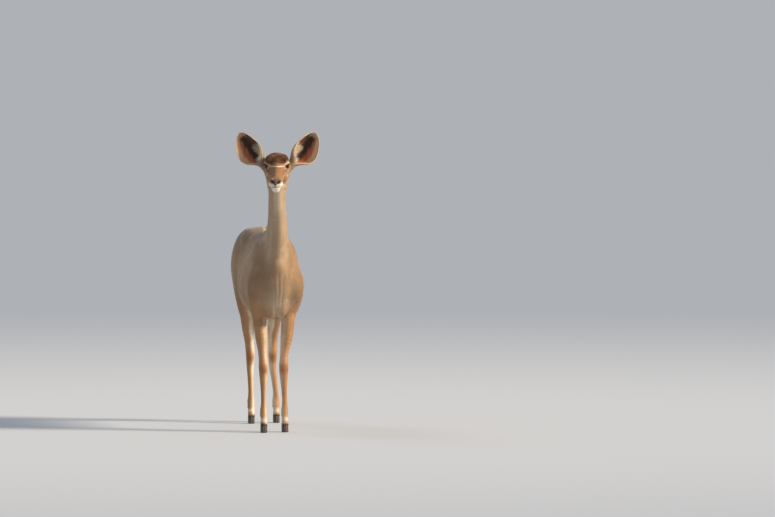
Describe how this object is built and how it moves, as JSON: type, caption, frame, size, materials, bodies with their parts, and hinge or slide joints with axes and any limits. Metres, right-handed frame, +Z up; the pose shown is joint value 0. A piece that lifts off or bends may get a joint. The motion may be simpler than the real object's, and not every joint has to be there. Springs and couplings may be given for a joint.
{
  "type": "greater kudu cow, standing",
  "caption": "Standing hornless female greater kudu: slender neck, broad cupped ears turned forward, short crown tuft and mane, striped flanks and cloven hooves.",
  "frame": {"origin": "on the floor under the middle of the animal's bounding box", "axes": "+Z up, the animal faces -Y, and +X is her left side"},
  "size_m": [0.493, 1.6852, 1.8018],
  "materials": {
    "coat": "matte",
    "eye": "gloss",
    "horn": "satin"
  },
  "bodies": {
    "root": {"head": "coat", "neck": "coat", "torso": "coat", "tail": "coat", "leg_front_left": "coat", "leg_hind_left": "coat", "leg_front_right": "coat", "leg_hind_right": "coat", "ear_left": "coat", "eye_left": "eye", "ear_right": "coat", "eye_right": "eye", "hoof_front_left_inner": "horn", "hoof_front_left_outer": "horn", "hoof_front_right_inner": "horn", "hoof_front_right_outer": "horn", "hoof_hind_left_inner": "horn", "hoof_hind_left_outer": "horn", "hoof_hind_right_inner": "horn", "hoof_hind_right_outer": "horn", "dewclaw_front_left_inner": "horn", "dewclaw_front_left_outer": "horn", "dewclaw_front_right_inner": "horn", "dewclaw_front_right_outer": "horn", "dewclaw_hind_left_inner": "horn", "dewclaw_hind_left_outer": "horn", "dewclaw_hind_right_inner": "horn", "dewclaw_hind_right_outer": "horn"}
  },
  "joints": []
}
